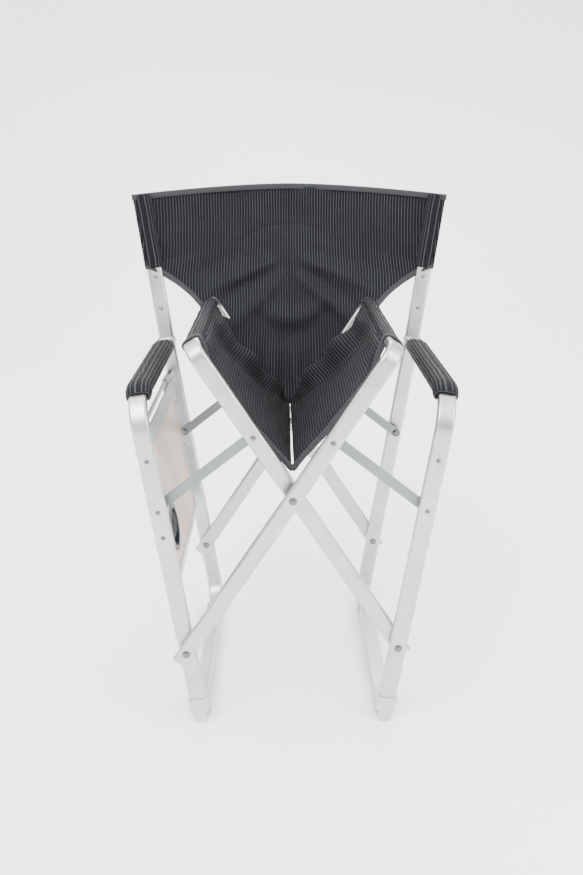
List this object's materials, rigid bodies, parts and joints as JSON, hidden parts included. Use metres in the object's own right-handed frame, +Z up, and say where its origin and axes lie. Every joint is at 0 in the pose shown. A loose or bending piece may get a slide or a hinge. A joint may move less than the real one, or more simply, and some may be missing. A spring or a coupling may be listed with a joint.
{
  "type": "folding director chair",
  "caption": "Folding camp chair with crossed bars, sling seat and back, padded arms and a fold-down side table, shown half folded.",
  "frame": {"origin": "on the floor, midway between the side frames and between the front legs and rear uprights", "axes": "+Z up, +Y towards the back of the chair, +X towards the frame without the table"},
  "size_m": [0.6198, 0.6262, 0.8978],
  "materials": {
    "frame_aluminium": "satin anodised",
    "rim_aluminium": "satin",
    "zinc_steel": "matt zinc plate",
    "rivet_steel": "satin",
    "white_plastic": "matt",
    "black_plastic": "matt",
    "table_board": "smooth laminate",
    "striped_fabric": "woven with fine grey stripes",
    "pad_fabric": "padded, woven with fine grey stripes",
    "black_fabric": "woven"
  },
  "bodies": {
    "left_pivot_pins": {"pivot_pin_left_front": "rivet_steel", "pivot_pin_left_rear": "rivet_steel"},
    "left_frame": {"left_leg": "frame_aluminium", "left_upright": "frame_aluminium", "left_back_post": "frame_aluminium", "left_front_foot": "white_plastic", "left_rear_foot": "white_plastic", "left_arm_pad": "pad_fabric", "left_arm_bracket": "zinc_steel", "left_upright_cap": "black_plastic", "left_rivets": "rivet_steel", "left_link_studs": "rivet_steel", "left_leg_bushes": "black_plastic", "left_back_sleeve": "striped_fabric", "table_rod": "rivet_steel"},
    "bar_b": {"bar_b": "frame_aluminium", "bar_b_plugs": "white_plastic", "bar_b_bushes": "black_plastic", "cross_pins": "rivet_steel", "bar_b_link_studs": "rivet_steel", "right_seat_sleeve": "striped_fabric"},
    "bar_a": {"bar_a": "frame_aluminium", "bar_a_plugs": "white_plastic", "bar_a_link_studs": "rivet_steel", "cross_bushes": "black_plastic", "pivot_pin_right_front": "rivet_steel", "pivot_pin_right_rear": "rivet_steel", "left_seat_sleeve": "striped_fabric"},
    "right_frame": {"right_leg": "frame_aluminium", "right_upright": "frame_aluminium", "right_back_post": "frame_aluminium", "right_front_foot": "white_plastic", "right_rear_foot": "white_plastic", "right_arm_pad": "pad_fabric", "right_arm_bracket": "zinc_steel", "right_upright_cap": "black_plastic", "right_rivets": "rivet_steel", "right_link_studs": "rivet_steel", "right_leg_bushes": "black_plastic", "right_back_sleeve": "striped_fabric"},
    "left_links": {"left_link_front": "zinc_steel", "left_link_rear": "zinc_steel", "left_link_bushes": "black_plastic"},
    "right_links": {"right_link_front": "zinc_steel", "right_link_rear": "zinc_steel", "right_link_bushes": "black_plastic"},
    "left_seat": {"left_seat_half": "striped_fabric"},
    "right_seat": {"right_seat_half": "striped_fabric"},
    "left_back": {"left_back_half": "striped_fabric"},
    "right_back": {"right_back_half": "striped_fabric"},
    "side_table": {"table_hinge_plate": "zinc_steel", "table_panel": "table_board", "table_rim": "rim_aluminium", "table_rivets": "rivet_steel", "table_cup_ring": "black_plastic", "table_cup_pocket": "black_fabric"}
  },
  "joints": [
    {"name": "fold", "type": "hinge", "parent": "left_pivot_pins", "child": "bar_b", "pos_m": [-0.18198, 0, 0.14555], "axis": [0, 1, 0], "range_deg": [-10, 27]},
    {"name": "left_frame", "type": "hinge", "parent": "left_pivot_pins", "child": "left_frame", "pos_m": [-0.18198, 0, 0.14555], "axis": [0, 1, 0], "range_deg": [-2.51, 6.7]},
    {"name": "crossing", "type": "hinge", "parent": "bar_b", "child": "bar_a", "pos_m": [0, 0, 0.42578], "axis": [0, 1, 0], "range_deg": [-54.05, 20.05]},
    {"name": "right_frame", "type": "hinge", "parent": "bar_a", "child": "right_frame", "pos_m": [0.18198, 0, 0.14555], "axis": [0, 1, 0], "range_deg": [-7.59, 20.4]},
    {"name": "left_links", "type": "hinge", "parent": "left_frame", "child": "left_links", "pos_m": [-0.22056, 0, 0.40065], "axis": [0, 1, 0], "range_deg": [-15.17, 40.88]},
    {"name": "right_links", "type": "hinge", "parent": "right_frame", "child": "right_links", "pos_m": [0.22056, 0, 0.40065], "axis": [0, 1, 0], "range_deg": [-40.88, 15.17]},
    {"name": "left_seat", "type": "hinge", "parent": "bar_a", "child": "left_seat", "pos_m": [-0.15904, 0, 0.67067], "axis": [0, 1, 0], "range_deg": [-22.33, 8.3]},
    {"name": "right_seat", "type": "hinge", "parent": "bar_b", "child": "right_seat", "pos_m": [0.15904, 0, 0.67067], "axis": [0, 1, 0], "range_deg": [-8.3, 22.33]},
    {"name": "left_back", "type": "hinge", "parent": "left_frame", "child": "left_back", "pos_m": [-0.24748, 0.22, 0.57862], "axis": [-0.1483, 0.1305, 0.9803], "range_deg": [-22.55, 8.38]},
    {"name": "right_back", "type": "hinge", "parent": "right_frame", "child": "right_back", "pos_m": [0.24748, 0.22, 0.57862], "axis": [0.1483, 0.1305, 0.9803], "range_deg": [-8.38, 22.55]},
    {"name": "table_fold", "type": "hinge", "parent": "left_frame", "child": "side_table", "pos_m": [-0.24658, 0, 0.5292], "axis": [0, 1, 0], "range_deg": [0, 90]}
  ],
  "couplings": [
    {"joint": "left_frame", "follows": "fold", "ratio": 0.24611},
    {"joint": "crossing", "follows": "fold", "ratio": -2},
    {"joint": "right_frame", "follows": "fold", "ratio": 0.75389},
    {"joint": "left_links", "follows": "fold", "ratio": 1.5123},
    {"joint": "right_links", "follows": "fold", "ratio": -1.5123},
    {"joint": "left_seat", "follows": "fold", "ratio": -0.82535},
    {"joint": "right_seat", "follows": "fold", "ratio": 0.82535},
    {"joint": "left_back", "follows": "fold", "ratio": -0.83333},
    {"joint": "right_back", "follows": "fold", "ratio": 0.83333}
  ]
}
